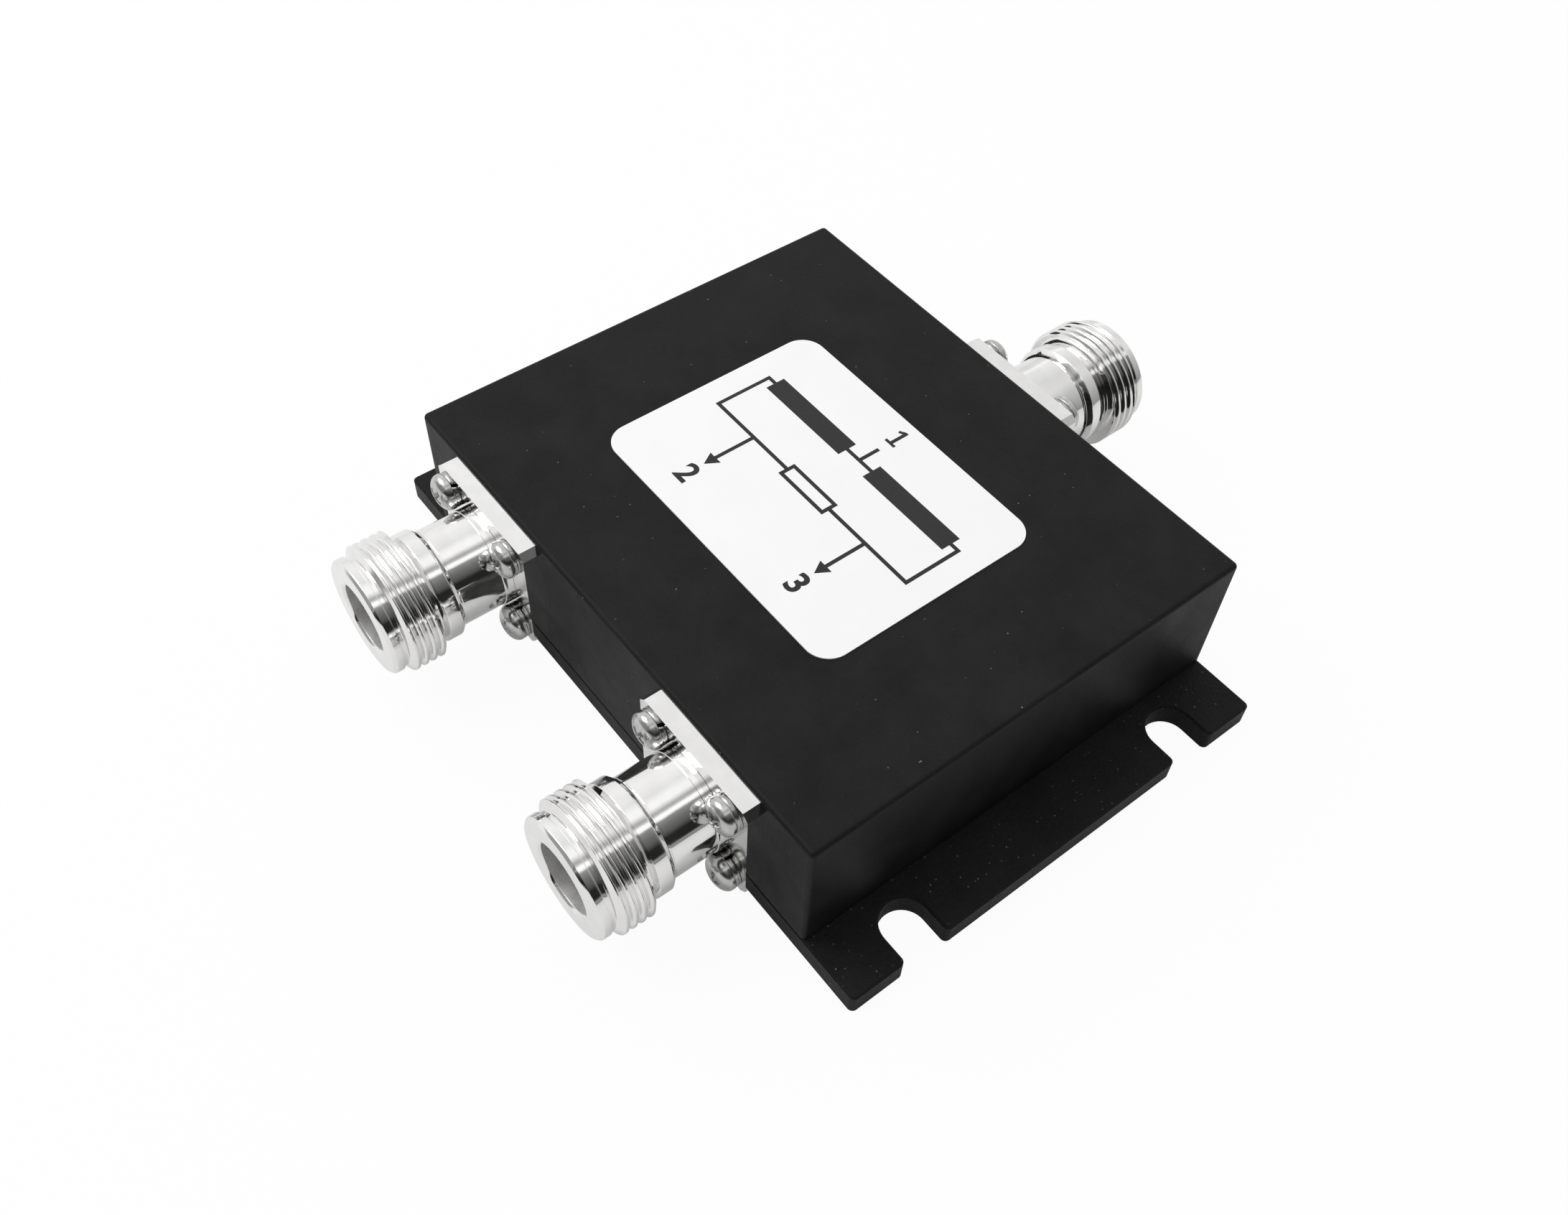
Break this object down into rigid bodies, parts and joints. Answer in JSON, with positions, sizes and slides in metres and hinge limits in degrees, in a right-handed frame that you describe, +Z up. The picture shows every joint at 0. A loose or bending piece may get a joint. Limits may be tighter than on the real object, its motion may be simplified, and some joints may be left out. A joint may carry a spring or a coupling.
{
  "type": "rf power splitter",
  "caption": "Two-way radio frequency power splitter: black slotted-ear housing with an input on one side, outputs on the other, all threaded coaxial sockets.",
  "frame": {"origin": "centre of the base plate's underside, which is the bottom centre of the whole part", "axes": "+X along the side with the two outputs, from output 1 to output 2; +Y towards the input connector; +Z up, out of the label"},
  "size_m": [0.0904, 0.0982, 0.0214],
  "materials": {
    "black_coat": "fine-textured matte black coat on milled aluminium",
    "label_white": "white satin film",
    "nickel_plate": "bright nickel plate on turned brass",
    "screw_steel": "bright zinc-plated steel",
    "dielectric_white": "white fluoropolymer",
    "contact_gold": "gold plate on bronze",
    "laminate_green": "green solder-masked glass laminate",
    "copper_track": "bare etched copper",
    "resistor_black": "black glazed ceramic chip",
    "solder_grey": "dull tin solder"
  },
  "bodies": {
    "root": {"housing": "black_coat", "base_plate": "black_coat", "base_plate_screws": "screw_steel", "label": "label_white", "circuit_board": "laminate_green", "board_screws": "screw_steel", "splitter_track": "copper_track", "isolation_resistor": "resistor_black", "input_flange_body": "nickel_plate", "input_front_shell": "nickel_plate", "input_insulator": "dielectric_white", "input_centre_contact": "contact_gold", "input_flange_screws": "screw_steel", "input_lock_washers": "screw_steel", "input_solder_joint": "solder_grey", "output_1_flange_body": "nickel_plate", "output_1_front_shell": "nickel_plate", "output_1_insulator": "dielectric_white", "output_1_centre_contact": "contact_gold", "output_1_flange_screws": "screw_steel", "output_1_lock_washers": "screw_steel", "output_1_solder_joint": "solder_grey", "output_2_flange_body": "nickel_plate", "output_2_front_shell": "nickel_plate", "output_2_insulator": "dielectric_white", "output_2_centre_contact": "contact_gold", "output_2_flange_screws": "screw_steel", "output_2_lock_washers": "screw_steel", "output_2_solder_joint": "solder_grey"}
  },
  "joints": []
}
